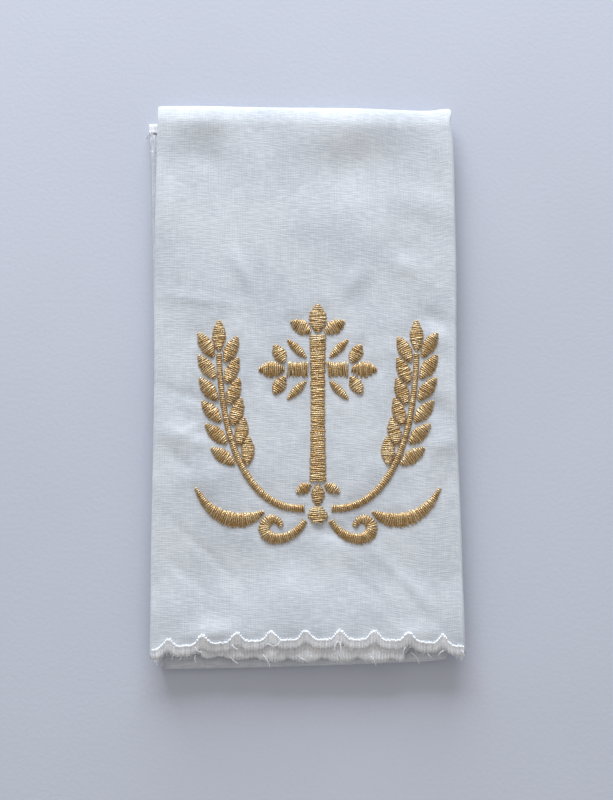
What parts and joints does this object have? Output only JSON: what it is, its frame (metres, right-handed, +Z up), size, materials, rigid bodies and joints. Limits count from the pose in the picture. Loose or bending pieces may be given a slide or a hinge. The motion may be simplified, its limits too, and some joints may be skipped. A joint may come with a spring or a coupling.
{
  "type": "purificator",
  "caption": "Folded white linen purificator with a scalloped satin edging and a gold embroidered cross between ears of wheat.",
  "frame": {"origin": "middle of the folded packet's bounding box, on the surface it lies on", "axes": "+X to the right seen from above, +Y along the packet towards its top fold, +Z up, out of the embroidered face"},
  "size_m": [0.0868, 0.1562, 0.0068],
  "materials": {
    "linen": "fine plain-weave white linen with slubs, matt",
    "white_thread": "white satin stitch, soft sheen",
    "gold_thread": "gold satin stitch, metallic sheen"
  },
  "bodies": {
    "root": {"bud_foot_a": "gold_thread", "bud_foot_b": "gold_thread", "bud_foot_middle": "gold_thread", "bud_head_a": "gold_thread", "bud_head_b": "gold_thread", "bud_head_middle": "gold_thread", "bud_left_a": "gold_thread", "bud_left_b": "gold_thread", "bud_left_middle": "gold_thread", "bud_right_a": "gold_thread", "bud_right_b": "gold_thread", "bud_right_middle": "gold_thread", "cross_arm_left": "gold_thread", "cross_arm_right": "gold_thread", "cross_shaft": "gold_thread", "curl_left": "gold_thread", "curl_right": "gold_thread", "edging_far": "white_thread", "edging_lower": "white_thread", "edging_upper": "white_thread", "grain_left_inner_1": "gold_thread", "grain_left_inner_2": "gold_thread", "grain_left_inner_3": "gold_thread", "grain_left_inner_4": "gold_thread", "grain_left_inner_5": "gold_thread", "grain_left_inner_6": "gold_thread", "grain_left_outer_1": "gold_thread", "grain_left_outer_2": "gold_thread", "grain_left_outer_3": "gold_thread", "grain_left_outer_4": "gold_thread", "grain_left_outer_5": "gold_thread", "grain_left_outer_6": "gold_thread", "grain_left_tip": "gold_thread", "grain_right_inner_1": "gold_thread", "grain_right_inner_2": "gold_thread", "grain_right_inner_3": "gold_thread", "grain_right_inner_4": "gold_thread", "grain_right_inner_5": "gold_thread", "grain_right_inner_6": "gold_thread", "grain_right_outer_1": "gold_thread", "grain_right_outer_2": "gold_thread", "grain_right_outer_3": "gold_thread", "grain_right_outer_4": "gold_thread", "grain_right_outer_5": "gold_thread", "grain_right_outer_6": "gold_thread", "grain_right_tip": "gold_thread", "knot": "gold_thread", "leaf_left": "gold_thread", "leaf_right": "gold_thread", "linen_cloth": "linen", "ray_1": "gold_thread", "ray_2": "gold_thread", "ray_3": "gold_thread", "ray_4": "gold_thread", "stalk_left": "gold_thread", "stalk_right": "gold_thread"}
  },
  "joints": []
}
